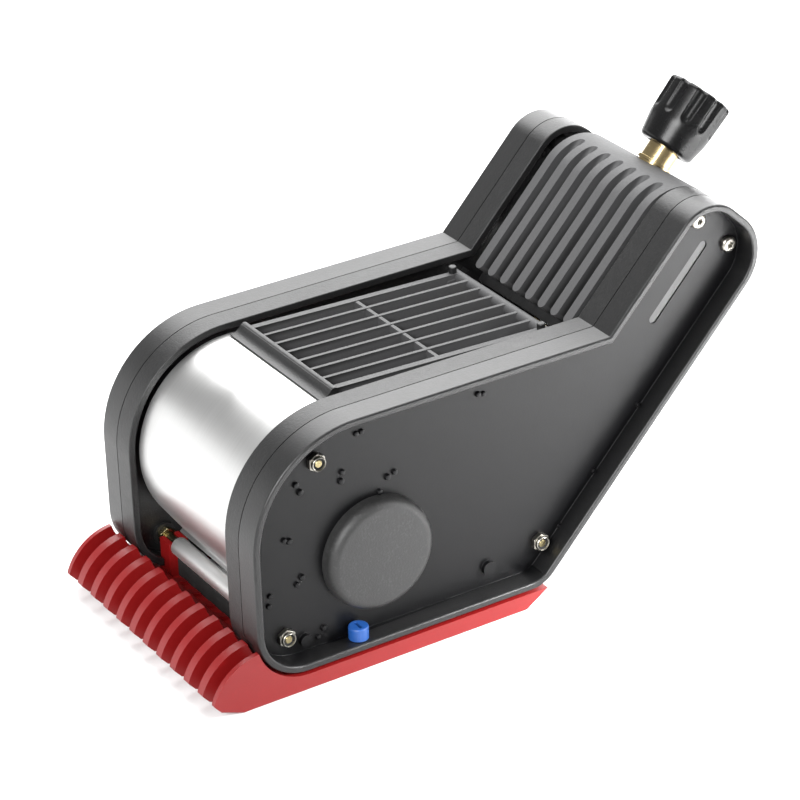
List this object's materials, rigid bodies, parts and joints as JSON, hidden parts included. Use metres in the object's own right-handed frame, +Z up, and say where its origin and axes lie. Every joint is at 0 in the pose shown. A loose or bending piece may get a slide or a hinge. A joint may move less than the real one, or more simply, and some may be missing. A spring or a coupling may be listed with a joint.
{
  "type": "gum removal head",
  "caption": "Hand-guided pressure-water gum removal head: black side walls, steel hood, slatted grate, ribbed tower, finned red skid shoe and a union nut inlet.",
  "frame": {"origin": "ground level under the middle of the whole head", "axes": "+X across the head, +Y from the finned shoe back to the hose inlet, +Z up"},
  "size_m": [0.1406, 0.3282, 0.2089],
  "materials": {
    "moulded_black": "fine matte moulded texture",
    "cover_black": "fine matte moulded texture, smooth recessed panel",
    "cap_grey": "soft matte",
    "shoe_red": "satin moulded",
    "hood_steel": "brushed sheet",
    "satin_steel": "satin",
    "zinc_steel": "zinc plated",
    "yellow_zinc": "yellow zinc plated",
    "brass": "turned",
    "stud_blue": "satin moulded",
    "nut_black": "semi-gloss",
    "seal_rubber": "matte"
  },
  "bodies": {
    "head": {"side_frame_right": "moulded_black", "side_frame_left": "moulded_black", "ribbed_cover": "moulded_black", "back_panel": "moulded_black", "grate": "moulded_black", "grate_pegs": "moulded_black", "side_cover_right": "cover_black", "side_cover_left": "cover_black", "side_cap_right": "cap_grey", "side_cap_left": "cap_grey", "skid_shoe": "shoe_red", "hood": "hood_steel", "side_inlays": "satin_steel", "feed_pipe": "satin_steel", "nozzle": "satin_steel", "nozzle_bracket": "satin_steel", "spacer_tubes": "satin_steel", "lock_nuts": "zinc_steel", "tower_screws": "zinc_steel", "tie_bolts": "yellow_zinc", "roller_nuts": "yellow_zinc", "inlet_nipple": "brass", "inlet_jam_nut": "brass", "nozzle_block": "brass", "front_seal": "seal_rubber", "inlet_o_ring": "seal_rubber"},
    "union_nut": {"union_nut_grip": "nut_black", "union_nut_core": "brass"},
    "front_roller": {"front_roller": "satin_steel"},
    "shoe_stud_right": {"shoe_stud_right": "stud_blue"},
    "shoe_stud_left": {"shoe_stud_left": "stud_blue"}
  },
  "joints": [
    {"name": "union_nut_turn", "type": "hinge", "parent": "head", "child": "union_nut", "pos_m": [0, 0.13118, 0.17513], "axis": [0, 0.682, 0.7314], "continuous": true},
    {"name": "front_roller_turn", "type": "hinge", "parent": "head", "child": "front_roller", "pos_m": [0, -0.12035, 0.0232], "axis": [1, 0, 0], "continuous": true},
    {"name": "shoe_stud_right_turn", "type": "hinge", "parent": "head", "child": "shoe_stud_right", "pos_m": [0.06365, -0.08515, 0.012], "axis": [0, 0, 1], "range_deg": [0, 90]},
    {"name": "shoe_stud_left_turn", "type": "hinge", "parent": "head", "child": "shoe_stud_left", "pos_m": [-0.06365, -0.08515, 0.012], "axis": [0, 0, 1], "range_deg": [0, 90]}
  ]
}
